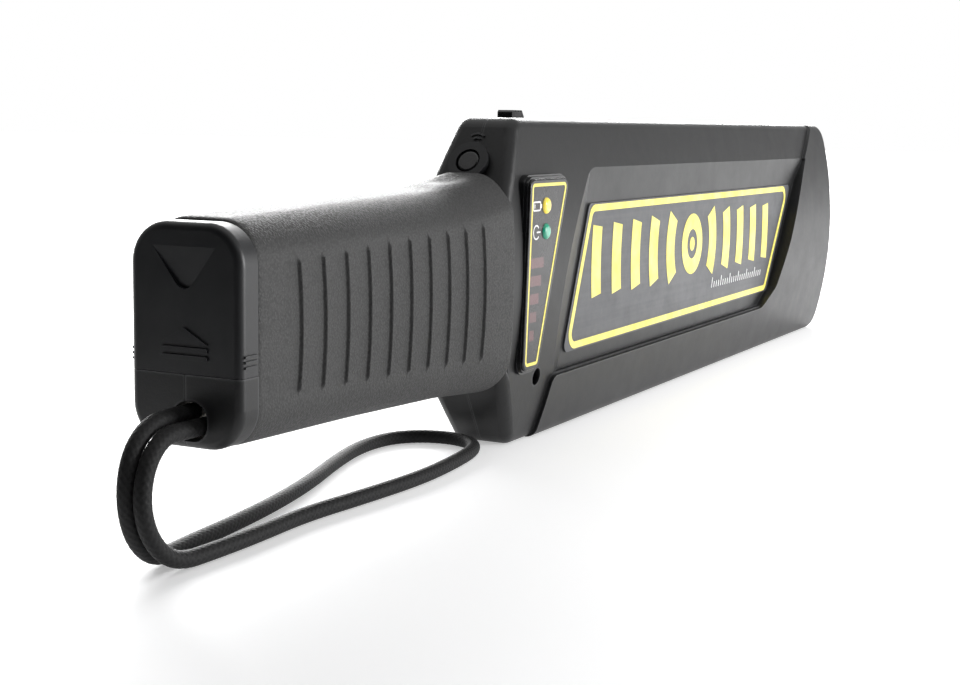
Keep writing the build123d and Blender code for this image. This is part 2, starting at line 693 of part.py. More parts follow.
# from the hole it drops to the surface, runs along it under the handle, turns before the
# paddle's corner and comes back
lie_z = cord_d / 2
lanyard_route = [
    (hole_depth_x - anchor_t, -2.6, 24.6),
    (-210.3, -2.6, 24.6),
    (-217.8, -3.0, 24.9),
    (-223.8, -3.8, 20.5),
    (-226.1, -4.5, 13.3),
    (-223.8, -5.2, 6.2),
    (-217.7, -5.7, lie_z),
    (-207.0, -6.4, lie_z),
    (-194.0, -6.6, lie_z),
    (-176.0, -5.9, lie_z),
    (-156.0, -8.2, lie_z),
    (-134.0, -9.9, lie_z),
    (-114.5, -8.5, lie_z),
    (-99.9, -6.0, lie_z),
    (-93.4, -1.2, lie_z),
    (-90.9, 6.5, lie_z),
    (-93.4, 14.2, lie_z),
    (-99.9, 19.0, lie_z),
    (-113.0, 19.6, lie_z),
    (-131.0, 15.4, lie_z),
    (-152.0, 8.9, lie_z),
    (-173.0, 4.4, lie_z),
    (-192.0, 1.9, lie_z),
    (-206.5, 0.6, lie_z),
    (-218.0, 0.1, lie_z),
    (-224.6, 0.0, 6.6),
    (-227.1, 0.0, 14.3),
    (-224.6, 0.1, 22.0),
    (-218.0, 0.3, 26.8),
    (-210.2, 0.5, 26.9),
    (hole_depth_x - anchor_t, 0.5, 26.9),
]


def tangent_radii(route):
    """Radius of each corner's arc: 0.45 of its shorter run over the tangent of half its turn."""
    radii = []
    for before, here, after in zip(route, route[1:], route[2:]):
        arriving = Vector(*here) - Vector(*before)
        leaving = Vector(*after) - Vector(*here)
        half_turn = arriving.get_angle(leaving) / 2
        radii.append(0.45 * min(arriving.length, leaving.length) / math.tan(math.radians(half_turn)))
    return radii


lanyard_radii = tangent_radii(lanyard_route)
with BuildPart() as wrist_lanyard:
    with BuildLine() as lanyard_path:
        FilletPolyline(*lanyard_route, radius=lanyard_radii)
    with BuildSketch(Plane(origin=lanyard_path.line @ 0, z_dir=lanyard_path.line % 0)):
        Circle(radius=cord_d / 2)
    sweep()
save(wrist_lanyard.part, "wrist_lanyard")

section = math.pi * (cord_d / 2) ** 2
print("lanyard radii", [round(radius, 1) for radius in lanyard_radii])
lanyard_length = sum(edge.length for edge in lanyard_path.edges())
print("lanyard length", round(lanyard_length, 1))
print("lanyard volume", round(wrist_lanyard.part.volume), "section x length", round(section * lanyard_length))
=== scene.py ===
import json
import bpy
import numpy as np
from mathutils import Matrix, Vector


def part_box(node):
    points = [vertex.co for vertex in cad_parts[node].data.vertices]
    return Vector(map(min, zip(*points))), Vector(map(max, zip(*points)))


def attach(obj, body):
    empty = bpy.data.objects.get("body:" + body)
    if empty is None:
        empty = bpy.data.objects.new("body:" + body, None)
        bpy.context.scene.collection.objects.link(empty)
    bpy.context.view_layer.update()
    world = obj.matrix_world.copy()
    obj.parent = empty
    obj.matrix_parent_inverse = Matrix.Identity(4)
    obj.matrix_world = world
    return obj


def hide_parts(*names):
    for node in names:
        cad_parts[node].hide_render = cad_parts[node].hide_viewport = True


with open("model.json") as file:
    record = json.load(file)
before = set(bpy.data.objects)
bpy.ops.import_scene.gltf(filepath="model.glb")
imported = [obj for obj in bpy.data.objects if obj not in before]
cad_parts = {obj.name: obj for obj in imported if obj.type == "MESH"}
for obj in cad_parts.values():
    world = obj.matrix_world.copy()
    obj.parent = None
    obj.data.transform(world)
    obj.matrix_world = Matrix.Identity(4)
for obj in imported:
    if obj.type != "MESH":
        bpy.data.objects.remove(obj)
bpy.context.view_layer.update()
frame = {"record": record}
mm = 0.001


def newPiece(name, points, faces, material, smooth=True):
    # points is an (n, 3) array in millimetres, faces a list of index arrays of one width each
    mesh = bpy.data.meshes.new(name)
    corners = np.concatenate([block.ravel() for block in faces])
    widths = np.concatenate([np.full(len(block), block.shape[1]) for block in faces])
    mesh.vertices.add(len(points))
    mesh.vertices.foreach_set("co", (points * mm).astype(np.float32).ravel())
    mesh.loops.add(len(corners))
    mesh.loops.foreach_set("vertex_index", corners.astype(np.int32))
    mesh.polygons.add(len(widths))
    mesh.polygons.foreach_set("loop_start", np.concatenate([[0], np.cumsum(widths)[:-1]]).astype(np.int32))
    mesh.update(calc_edges=True)
    mesh.validate()
    mesh.polygons.foreach_set("use_smooth", np.full(len(mesh.polygons), smooth))
    mesh.materials.append(material)
    piece = bpy.data.objects.new(name, mesh)
    bpy.context.scene.collection.objects.link(piece)
    return piece


def gridQuads(rows, columns, wrapRows, wrapColumns):
    # quads between neighbouring rows and columns of a grid of points, closed round where it wraps
    i = np.arange(rows if wrapRows else rows - 1)
    j = np.arange(columns if wrapColumns else columns - 1)
    i, j = np.meshgrid(i, j, indexing="ij")
    nextI = (i + 1) % rows
    nextJ = (j + 1) % columns
    return np.stack([i * columns + j, nextI * columns + j, nextI * columns + nextJ, i * columns + nextJ],
                    axis=-1).reshape(-1, 4)


def smoothStep(value, low, high):
    share = np.clip((value - low) / (high - low), 0, 1)
    return share * share * (3 - 2 * share)


def roundedSection(perSide, perCorner):
    # one turn round a rounded rectangle, as the corner or side that each point belongs to
    # (-1 to 1 across and up) and the direction in which it looks outward
    side = np.linspace(-1, 1, perSide, endpoint=False)
    turn = np.linspace(0, np.pi / 2, perCorner, endpoint=False)
    across, up, lookY, lookZ = [], [], [], []
    for quarter in range(4):
        start = quarter * np.pi / 2
        cosine, sine = np.cos(start), np.sin(start)
        # a side is crossed from one corner to the next, then the corner turns by a quarter
        across.append(cosine - side * sine)
        up.append(sine + side * cosine)
        lookY.append(np.full(perSide, cosine))
        lookZ.append(np.full(perSide, sine))
        across.append(np.full(perCorner, cosine - sine))
        up.append(np.full(perCorner, sine + cosine))
        lookY.append(np.cos(start + turn))
        lookZ.append(np.sin(start + turn))
    return [np.concatenate(part) for part in (across, up, lookY, lookZ)]


def startMaterial(name):
    material = bpy.data.materials.new(name)
    material.use_nodes = True
    nodes = material.node_tree.nodes
    nodes.clear()
    output = nodes.new("ShaderNodeOutputMaterial")
    shader = nodes.new("ShaderNodeBsdfPrincipled")
    material.node_tree.links.new(shader.outputs["BSDF"], output.inputs["Surface"])
    return material, nodes, material.node_tree.links, shader


def mathNode(nodes, links, operation, first, second=None):
    node = nodes.new("ShaderNodeMath")
    node.operation = operation
    for socket, value in zip(node.inputs, (first, second)):
        if value is None:
            continue
        if isinstance(value, (int, float)):
            socket.default_value = value
        else:
            links.new(value, socket)
    return node.outputs[0]


def objectCoords(nodes, links, scale=(1, 1, 1)):
    coords = nodes.new("ShaderNodeTexCoord")
    mapping = nodes.new("ShaderNodeMapping")
    mapping.inputs["Scale"].default_value = scale
    links.new(coords.outputs["Object"], mapping.inputs["Vector"])
    return mapping.outputs["Vector"]


def noiseValue(nodes, links, vector, scale, detail=3.0, rough=0.55):
    noise = nodes.new("ShaderNodeTexNoise")
    noise.inputs["Scale"].default_value = scale
    noise.inputs["Detail"].default_value = detail
    noise.inputs["Roughness"].default_value = rough
    links.new(vector, noise.inputs["Vector"])
    return noise.outputs["Fac"]


def rampValue(nodes, links, value, low, high, fromLow=0.3, fromHigh=0.7):
    ramp = nodes.new("ShaderNodeMapRange")
    ramp.inputs["From Min"].default_value = fromLow
    ramp.inputs["From Max"].default_value = fromHigh
    ramp.inputs["To Min"].default_value = low
    ramp.inputs["To Max"].default_value = high
    links.new(value, ramp.inputs["Value"])
    return ramp.outputs["Result"]


def mixColours(nodes, links, amount, first, second):
    mix = nodes.new("ShaderNodeMix")
    mix.data_type = "RGBA"
    links.new(amount, mix.inputs["Factor"])
    for socket, value in ((mix.inputs["A"], first), (mix.inputs["B"], second)):
        if isinstance(value, (tuple, list)):
            socket.default_value = (*value, 1.0)
        else:
            links.new(value, socket)
    return mix.outputs["Result"]


def edgeMask(nodes, links, radius):
    # how far the surface turns within the radius: 0 on a flat face, towards 1 on a sharp edge
    bevel = nodes.new("ShaderNodeBevel")
    bevel.samples = 4
    bevel.inputs["Radius"].default_value = radius
    geometry = nodes.new("ShaderNodeNewGeometry")
    dot = nodes.new("ShaderNodeVectorMath")
    dot.operation = "DOT_PRODUCT"
    links.new(bevel.outputs["Normal"], dot.inputs[0])
    links.new(geometry.outputs["Normal"], dot.inputs[1])
    return rampValue(nodes, links, dot.outputs["Value"], 1.0, 0.0, 0.75, 0.99)


def addRelief(nodes, links, shader, height, strength, depth):
    bump = nodes.new("ShaderNodeBump")
    bump.inputs["Strength"].default_value = strength
    bump.inputs["Distance"].default_value = depth
    links.new(height, bump.inputs["Height"])
    links.new(bump.outputs["Normal"], shader.inputs["Normal"])


def offPartingLine(nodes, links, vector):
    # distance from the plane y = 0, where the two halves of the housing meet
    split = nodes.new("ShaderNodeSeparateXYZ")
    links.new(vector, split.inputs[0])
    return mathNode(nodes, links, "ABSOLUTE", split.outputs["Y"])


def mouldedPlastic(name, look):
    # moulded plastic: a fine spark-eroded grain, slow colour drift, handling marks that change the
    # gloss, pale edges that are partly rubbed wear and partly a painted highlight along the rims,
    # and, where asked, the dark line where two halves meet on y = 0
    material, nodes, links, shader = startMaterial(name)
    vector = objectCoords(nodes, links)
    drift = noiseValue(nodes, links, vector, look["driftScale"], 4)
    marks = noiseValue(nodes, links, vector, look["markScale"], 6, 0.7)
    grain = noiseValue(nodes, links, vector, look["grainScale"], 2)
    colour = mixColours(nodes, links, rampValue(nodes, links, drift, 0, 1), look["dark"], look["light"])
    # pale edges: partly rubbed wear, partly a painted highlight where the rims would catch the light
    if look["edgeWearAndHighlight"] > 0:
        edges = edgeMask(nodes, links, look["edgeWearAndHighlightRadius"])
        rubbedAndHighlit = mathNode(nodes, links, "MULTIPLY", edges, look["edgeWearAndHighlight"])
        rubbedAndHighlit = mathNode(nodes, links, "MULTIPLY", rubbedAndHighlit, rampValue(nodes, links, marks, 0.3, 1.0))
        colour = mixColours(nodes, links, rubbedAndHighlit, colour, look["edgeWearAndHighlightColour"])
    height = mathNode(nodes, links, "MULTIPLY", grain, look["grainDepth"])
    if look.get("partingLine"):
        offLine = offPartingLine(nodes, links, vector)
        line = rampValue(nodes, links, offLine, 1.0, 0.0, look["partingLine"] * 0.4, look["partingLine"])
        colour = mixColours(nodes, links, line, colour, (0.004, 0.004, 0.005))
        groove = mathNode(nodes, links, "MULTIPLY", line, look["grainDepth"] * 3)
        height = mathNode(nodes, links, "SUBTRACT", height, groove)
    links.new(colour, shader.inputs["Base Color"])
    links.new(rampValue(nodes, links, marks, look["glossy"], look["dull"]), shader.inputs["Roughness"])
    addRelief(nodes, links, shader, height, look["grainStrength"], look["grainBump"])
    shader.inputs["IOR"].default_value = 1.5
    shader.inputs["Specular IOR Level"].default_value = look["shine"]
    return material


plasticLooks = {
    "housing": {
        "dark": (0.003, 0.0031, 0.0035), "light": (0.0055, 0.0057, 0.0064), "driftScale": 9.0,
        "markScale": 90.0, "grainScale": 1900.0, "grainDepth": 1.0, "grainStrength": 0.22,
        # its pale edges (wear amount, radius and colour below) are mostly a painted highlight along the
        # rims
        "grainBump": 0.00012, "glossy": 0.39, "dull": 0.46, "shine": 0.43, "edgeWearAndHighlight": 0.9,
        "edgeWearAndHighlightRadius": 0.001, "edgeWearAndHighlightColour": (0.10, 0.102, 0.107), "partingLine": 0.00022,
    },
    "smooth_plastic": {
        "dark": (0.0022, 0.0025, 0.0035), "light": (0.004, 0.0044, 0.006), "driftScale": 30.0,
        "markScale": 90.0, "grainScale": 2600.0, "grainDepth": 1.0, "grainStrength": 0.1,
        "grainBump": 0.00008, "glossy": 0.36, "dull": 0.48, "shine": 0.5, "edgeWearAndHighlight": 0.5,
        "edgeWearAndHighlightRadius": 0.0004, "edgeWearAndHighlightColour": (0.025, 0.026, 0.030),
    },
    "gloss_black": {
        "dark": (0.003, 0.003, 0.0035), "light": (0.006, 0.006, 0.007), "driftScale": 60.0,
        "markScale": 260.0, "grainScale": 1500.0, "grainDepth": 1.0, "grainStrength": 0.04,
        "grainBump": 0.00005, "glossy": 0.12, "dull": 0.24, "shine": 0.55, "edgeWearAndHighlight": 0.25,
        "edgeWearAndHighlightRadius": 0.0003, "edgeWearAndHighlightColour": (0.12, 0.12, 0.13),
    },
    "indicator_overlay": {
        "dark": (0.012, 0.012, 0.0125), "light": (0.018, 0.018, 0.0185), "driftScale": 50.0,
        "markScale": 200.0, "grainScale": 2400.0, "grainDepth": 1.0, "grainStrength": 0.08,
        "grainBump": 0.00005, "glossy": 0.22, "dull": 0.34, "shine": 0.5, "edgeWearAndHighlight": 0.0,
        "edgeWearAndHighlightRadius": 0.0003, "edgeWearAndHighlightColour": (0.12, 0.12, 0.13),
    },
    "white_plastic": {
        "dark": (0.70, 0.69, 0.65), "light": (0.80, 0.79, 0.76), "driftScale": 20.0,
        "markScale": 80.0, "grainScale": 1200.0, "grainDepth": 1.0, "grainStrength": 0.1,
        "grainBump": 0.0001, "glossy": 0.4, "dull": 0.55, "shine": 0.5, "edgeWearAndHighlight": 0.0,
        "edgeWearAndHighlightRadius": 0.0004, "edgeWearAndHighlightColour": (0.9, 0.9, 0.9),
    },
    "chip": {
        "dark": (0.020, 0.020, 0.022), "light": (0.034, 0.034, 0.036), "driftScale": 150.0,
        "markScale": 300.0, "grainScale": 3000.0, "grainDepth": 1.0, "grainStrength": 0.2,
        "grainBump": 0.0001, "glossy": 0.45, "dull": 0.6, "shine": 0.4, "edgeWearAndHighlight": 0.0,
        "edgeWearAndHighlightRadius": 0.0003, "edgeWearAndHighlightColour": (0.1, 0.1, 0.1),
    },
    "board": {
        "dark": (0.012, 0.085, 0.035), "light": (0.020, 0.12, 0.05), "driftScale": 70.0,
        "markScale": 150.0, "grainScale": 900.0, "grainDepth": 1.0, "grainStrength": 0.15,
        "grainBump": 0.0001, "glossy": 0.25, "dull": 0.4, "shine": 0.5, "edgeWearAndHighlight": 0.0,
        "edgeWearAndHighlightRadius": 0.0003, "edgeWearAndHighlightColour": (0.1, 0.3, 0.1),
    },
    "battery_jacket": {
        "dark": (0.05, 0.05, 0.055), "light": (0.09, 0.09, 0.1), "driftScale": 40.0,
        "markScale": 120.0, "grainScale": 900.0, "grainDepth": 1.0, "grainStrength": 0.1,
        "grainBump": 0.0001, "glossy": 0.25, "dull": 0.4, "shine": 0.5, "edgeWearAndHighlight": 0.4,
        "edgeWearAndHighlightRadius": 0.0005, "edgeWearAndHighlightColour": (0.4, 0.4, 0.42),
    },
    "red_wire": {
        "dark": (0.34, 0.012, 0.012), "light": (0.45, 0.02, 0.02), "driftScale": 80.0,
        "markScale": 200.0, "grainScale": 900.0, "grainDepth": 1.0, "grainStrength": 0.1,
        "grainBump": 0.0001, "glossy": 0.3, "dull": 0.45, "shine": 0.5, "edgeWearAndHighlight": 0.0,
        "edgeWearAndHighlightRadius": 0.0003, "edgeWearAndHighlightColour": (0.5, 0.1, 0.1),
    },
    "black_wire": {
        "dark": (0.012, 0.012, 0.012), "light": (0.02, 0.02, 0.02), "driftScale": 80.0,
        "markScale": 200.0, "grainScale": 900.0, "grainDepth": 1.0, "grainStrength": 0.1,
        "grainBump": 0.0001, "glossy": 0.3, "dull": 0.45, "shine": 0.5, "edgeWearAndHighlight": 0.0,
        "edgeWearAndHighlightRadius": 0.0003, "edgeWearAndHighlightColour": (0.1, 0.1, 0.1),
    },
}


def pebbledRubber(look):
    # rubber: round pebbles of two sizes with a dusty bloom, rubbed edges, polished high spots and
    # the thin raised line of its mould on y = 0
    material, nodes, links, shader = startMaterial("pebbledRubber")
    vector = objectCoords(nodes, links)
    cells = nodes.new("ShaderNodeTexVoronoi")
    cells.feature = "SMOOTH_F1"
    cells.inputs["Scale"].default_value = look["pebbleScale"]
    cells.inputs["Smoothness"].default_value = 0.6
    links.new(vector, cells.inputs["Vector"])
    fine = noiseValue(nodes, links, vector, look["fineScale"], 3, 0.6)
    drift = noiseValue(nodes, links, vector, look["driftScale"], 5, 0.6)
    pebble = rampValue(nodes, links, cells.outputs["Distance"], 1.0, 0.0, 0.1, 0.75)
    colour = mixColours(nodes, links, rampValue(nodes, links, drift, 0, 1), look["dark"], look["light"])
    dust = rampValue(nodes, links, fine, 0, 1, 0.45, 0.75)
    bloom = mathNode(nodes, links, "MULTIPLY", dust, look["bloom"])
    colour = mixColours(nodes, links, bloom, colour, look["bloomColour"])
    rubbedAndHighlit = mathNode(nodes, links, "MULTIPLY", edgeMask(nodes, links, look["edgeWearAndHighlightRadius"]), look["edgeWearAndHighlight"])
    colour = mixColours(nodes, links, rubbedAndHighlit, colour, look["edgeWearAndHighlightColour"])
    flash = rampValue(nodes, links, offPartingLine(nodes, links, vector), 1.0, 0.0, *look["flash"])
    height = mathNode(nodes, links, "MULTIPLY", pebble, 0.7)
    for layer, share in ((fine, 0.6), (flash, 0.9)):
        height = mathNode(nodes, links, "ADD", height, mathNode(nodes, links, "MULTIPLY", layer, share))
    links.new(colour, shader.inputs["Base Color"])
    roughness = rampValue(nodes, links, pebble, look["dull"], look["glossy"], 0, 1)
    links.new(roughness, shader.inputs["Roughness"])
    addRelief(nodes, links, shader, height, look["strength"], look["depth"])
    shader.inputs["Specular IOR Level"].default_value = 0.4
    return material


rubberLook = {
    "pebbleScale": 1900.0, "fineScale": 3000.0, "driftScale": 14.0, "dark": (0.020, 0.020, 0.020),
    "light": (0.032, 0.032, 0.032), "bloom": 0.35, "bloomColour": (0.065, 0.065, 0.064), "edgeWearAndHighlight": 0.3,
    "edgeWearAndHighlightRadius": 0.0007, "edgeWearAndHighlightColour": (0.075, 0.075, 0.075), "glossy": 0.5, "dull": 0.72,
    "flash": (0.00008, 0.0002), "strength": 0.5, "depth": 0.00020,
}


def braidedYarn(look):
    # polyester braid: fine fibres along each strand, from the piece's own braid attribute, painted
    # shade between the strands and a soft sheen on their crowns
    material, nodes, links, shader = startMaterial("braidedYarn")
    braid = nodes.new("ShaderNodeAttribute")
    braid.attribute_name = "braid"
    vector = objectCoords(nodes, links)
    fibres = noiseValue(nodes, links, vector, look["fibreScale"], 4, 0.7)
    drift = noiseValue(nodes, links, vector, 90.0, 3)
    # painted shade: the colour darkens from the crowns into the hollows between the strands
    ridge = rampValue(nodes, links, braid.outputs["Fac"], 0, 1, 0.15, 0.95)
    colour = mixColours(nodes, links, ridge, look["hollow"], look["crown"])
    worn = mathNode(nodes, links, "MULTIPLY", rampValue(nodes, links, fibres, 0, 1, 0.5, 0.8),
                    rampValue(nodes, links, drift, 0.1, 0.7))
    fuzzy = mathNode(nodes, links, "MULTIPLY", worn, ridge)
    colour = mixColours(nodes, links, fuzzy, colour, look["fuzz"])
    links.new(colour, shader.inputs["Base Color"])
    links.new(rampValue(nodes, links, fibres, look["glossy"], look["dull"]), shader.inputs["Roughness"])
    addRelief(nodes, links, shader, fibres, strength=0.5, depth=0.00012)
    shader.inputs["Sheen Weight"].default_value = look["sheen"]
    shader.inputs["Sheen Roughness"].default_value = 0.4
    shader.inputs["Specular IOR Level"].default_value = 0.35
    return material


yarnLook = {
    "fibreScale": 2600.0, "hollow": (0.001, 0.001, 0.001), "crown": (0.0045, 0.0045, 0.005),
    "fuzz": (0.024, 0.0235, 0.023), "glossy": 0.58, "dull": 0.8, "sheen": 0.03,
}


def platePrint(look):
    # printed film over the plate: faint lengthwise brushing, small scuffs in the gloss
    material, nodes, links, shader = startMaterial("plateFilm")
    streaks = noiseValue(nodes, links, objectCoords(nodes, links, (12, 12, 900)), 1.0, 4)
    scuffs = noiseValue(nodes, links, objectCoords(nodes, links), 70.0, 6, 0.75)
    grain = noiseValue(nodes, links, objectCoords(nodes, links), 2200.0, 2)
    colour = mixColours(nodes, links, rampValue(nodes, links, streaks, 0, 1), look["dark"], look["light"])
    links.new(colour, shader.inputs["Base Color"])
    links.new(rampValue(nodes, links, scuffs, look["glossy"], look["dull"]), shader.inputs["Roughness"])
    addRelief(nodes, links, shader, grain, strength=0.15, depth=0.00006)
    return material


plateLook = {"dark": (0.050, 0.052, 0.057), "light": (0.066, 0.068, 0.074), "glossy": 0.34, "dull": 0.5}


def printInk(name, look):
    # screen printed ink: slightly uneven cover, with pinholes and a soft orange-peel
    material, nodes, links, shader = startMaterial(name)
    vector = objectCoords(nodes, links)
    cover = noiseValue(nodes, links, vector, 160.0, 5, 0.65)
    peel = noiseValue(nodes, links, vector, 1400.0, 2)
    colour = mixColours(nodes, links, rampValue(nodes, links, cover, 0, 1), look["deep"], look["full"])
    links.new(colour, shader.inputs["Base Color"])
    links.new(rampValue(nodes, links, cover, look["dull"], look["glossy"]), shader.inputs["Roughness"])
    addRelief(nodes, links, shader, peel, strength=0.12, depth=0.00005)
    return material


inkLooks = {
    "yellowInk": {"deep": (0.82, 0.68, 0.10), "full": (0.90, 0.80, 0.20), "glossy": 0.3, "dull": 0.45},
    "whiteInk": {"deep": (0.70, 0.70, 0.70), "full": (0.86, 0.86, 0.86), "glossy": 0.35, "dull": 0.5},
}


def tintedLens(name, look):
    # tinted epoxy or acrylic: a clear coat over a milky body with a brighter core
    material, nodes, links, shader = startMaterial(name)
    vector = objectCoords(nodes, links)
    milk = noiseValue(nodes, links, vector, look["milkScale"], 4, 0.6)
    colour = mixColours(nodes, links, rampValue(nodes, links, milk, 0, 1), look["deep"], look["pale"])
    links.new(colour, shader.inputs["Base Color"])
    links.new(rampValue(nodes, links, milk, 0.12, 0.26), shader.inputs["Roughness"])
    shader.inputs["Coat Weight"].default_value = look.get("coat", 0.6)
    shader.inputs["Coat Roughness"].default_value = 0.08
    shader.inputs["Emission Color"].default_value = (*look["glow"], 1.0)
    shader.inputs["Emission Strength"].default_value = look["glowStrength"]
    return material


lensLooks = {
    "yellow_lamp": {"deep": (0.75, 0.52, 0.03), "pale": (0.93, 0.76, 0.12), "milkScale": 500.0,
                    "glow": (1.0, 0.8, 0.1), "glowStrength": 0.25},
    "green_lamp": {"deep": (0.004, 0.16, 0.09), "pale": (0.02, 0.36, 0.22), "milkScale": 500.0,
                   "glow": (0.0, 0.5, 0.3), "glowStrength": 0.12},
    "red_lamp": {"deep": (0.05, 0.008, 0.010), "pale": (0.10, 0.019, 0.023), "milkScale": 130.0,
                 "glow": (0.3, 0.02, 0.02), "glowStrength": 0.03, "coat": 0.15},
    "clear_plastic": {"deep": (0.6, 0.62, 0.64), "pale": (0.8, 0.82, 0.84), "milkScale": 300.0,
                      "glow": (1.0, 1.0, 1.0), "glowStrength": 0.0},
}


def metalFinish(name, look):
    # plated or drawn metal: fine draw lines along X and patchy gloss
    material, nodes, links, shader = startMaterial(name)
    lines = noiseValue(nodes, links, objectCoords(nodes, links, (60, 1600, 1600)), 1.0, 3)
    patches = noiseValue(nodes, links, objectCoords(nodes, links), 240.0, 4)
    colour = mixColours(nodes, links, rampValue(nodes, links, patches, 0, 1), look["dark"], look["light"])
    links.new(colour, shader.inputs["Base Color"])
    links.new(rampValue(nodes, links, lines, look["glossy"], look["dull"]), shader.inputs["Roughness"])
    shader.inputs["Metallic"].default_value = 1.0
    addRelief(nodes, links, shader, lines, strength=0.2, depth=0.00005)
    return material


metalLooks = {
    "nickel": {"dark": (0.55, 0.53, 0.49), "light": (0.68, 0.66, 0.61), "glossy": 0.22, "dull": 0.38},
    "steel": {"dark": (0.30, 0.30, 0.31), "light": (0.42, 0.42, 0.43), "glossy": 0.28, "dull": 0.45},
    "copper": {"dark": (0.50, 0.17, 0.06), "light": (0.68, 0.28, 0.11), "glossy": 0.25, "dull": 0.4},
}

materials = {name: mouldedPlastic(name, look) for name, look in plasticLooks.items()}
materials.update({name: tintedLens(name, look) for name, look in lensLooks.items()})
materials.update({name: metalFinish(name, look) for name, look in metalLooks.items()})
materials.update({name: printInk(name, look) for name, look in inkLooks.items()})
materials["grip_rubber"] = pebbledRubber(rubberLook)
materials["cord"] = braidedYarn(yarnLook)
materials["nameplate"] = platePrint(plateLook)
print("materials made:", len(materials))

# every CAD piece takes the finish of its slot
nodeFinish = {"indicator_panel": "indicator_overlay"}
for part in frame["record"]["subparts"]:
    name = part["node"]
    finish = materials[nodeFinish.get(name, part["material_slot"])]
    node = bpy.data.objects[name]
    if node.data.materials:
        for index in range(len(node.data.materials)):
            node.data.materials[index] = finish
    else:
        node.data.materials.append(finish)


lanyard = {
    "diameter": 3.4,
    "strands": 8,              # strands that wind each way
    "strandPitch": 1.5,        # millimetres along the cord from one strand to the next
    "relief": 0.1,             # how deep the braid is, as a share of the radius
    "ridgeRound": 0.8,         # below 1 the strands are broad, above 1 they are narrow
    "overlap": 0.2,            # how far the upper strand stands over the lower one at a crossing
    "step": 0.2,
    "around": 48,
    "route": [                 # metres, from one end in the hole round the loop to the other
        (-0.20395, -0.0026, 0.0246), (-0.2103, -0.0026, 0.0246), (-0.2178, -0.0030, 0.0249),
        (-0.2238, -0.0038, 0.0205), (-0.2261, -0.0045, 0.0133), (-0.2238, -0.0052, 0.0062),
        (-0.2177, -0.0057, 0.0017), (-0.2070, -0.0064, 0.0017), (-0.1940, -0.0066, 0.0017),
        (-0.1760, -0.0059, 0.0017), (-0.1560, -0.0082, 0.0017), (-0.1340, -0.0099, 0.0017),
        (-0.1145, -0.0085, 0.0017), (-0.0999, -0.0060, 0.0017), (-0.0934, -0.0012, 0.0017),
        (-0.0909, 0.0065, 0.0017), (-0.0934, 0.0142, 0.0017), (-0.0999, 0.0190, 0.0017),
        (-0.1130, 0.0196, 0.0017), (-0.1310, 0.0154, 0.0017), (-0.1520, 0.0089, 0.0017),
        (-0.1730, 0.0044, 0.0017), (-0.1920, 0.0019, 0.0017), (-0.2065, 0.0006, 0.0017),
        (-0.2178, -0.0010, 0.0017), (-0.2243, -0.0014, 0.0066), (-0.2263, -0.0010, 0.0143),
        (-0.2243, -0.0006, 0.0222), (-0.2180, 0.0001, 0.0268), (-0.2102, 0.0005, 0.0269),
        (-0.20395, 0.0005, 0.0269),
    ],
}


def smoothRoute(points):
    # the line of a NURBS curve with these control points, as an (n, 3) array in metres
    curve = bpy.data.curves.new("lanyardRoute", "CURVE")
    curve.dimensions = "3D"
    curve.resolution_u = 24
    spline = curve.splines.new("NURBS")
    spline.points.add(len(points) - 1)
    spline.points.foreach_set("co", np.column_stack([points, np.ones(len(points))]).ravel())
    spline.order_u = 3
    spline.use_endpoint_u = True
    holder = bpy.data.objects.new("lanyardRoute", curve)
    line = bpy.data.meshes.new_from_object(holder)
    found = np.empty(len(line.vertices) * 3)
    line.vertices.foreach_get("co", found)
    bpy.data.objects.remove(holder)
    bpy.data.curves.remove(curve)
    bpy.data.meshes.remove(line)
    return found.reshape(-1, 3)


def evenStations(line, step):
    # the same line with stations a step apart, and the length up to each
    run = np.concatenate([[0], np.cumsum(np.linalg.norm(np.diff(line, axis=0), axis=1))])
    stations = np.linspace(0, run[-1], int(round(run[-1] / step)) + 1)
    return np.stack([np.interp(stations, run, line[:, axis]) for axis in range(3)], axis=1), stations


def carriedFrames(line):
    # two directions across the line at each station, carried along it without twisting
    along = np.gradient(line, axis=0)
    along /= np.linalg.norm(along, axis=1)[:, None]
    first = np.empty_like(along)
    first[0] = np.cross(along[0], (0, 0, 1))
    first[0] /= np.linalg.norm(first[0])
    for here in range(1, len(along)):
        carried = first[here - 1] - along[here] * np.dot(first[here - 1], along[here])
        first[here] = carried / np.linalg.norm(carried)
    return first, np.cross(along, first)


def braidHeight(angle, run, settings):
    # two families of strands wind opposite ways: each is a row of cosine ridges, and the one that
    # lies over is chosen by the chequer of the crossings
    turn = settings["strands"] * angle
    forward = 2 * np.pi * run / settings["strandPitch"]
    ridgeA = np.abs(np.cos((turn + forward) / 2)) ** settings["ridgeRound"]
    ridgeB = np.abs(np.cos((turn - forward) / 2)) ** settings["ridgeRound"]
    over = settings["overlap"] * np.tanh(3 * np.cos(turn) * np.cos(forward))
    return np.maximum(ridgeA * (0.8 + over), ridgeB * (0.8 - over))


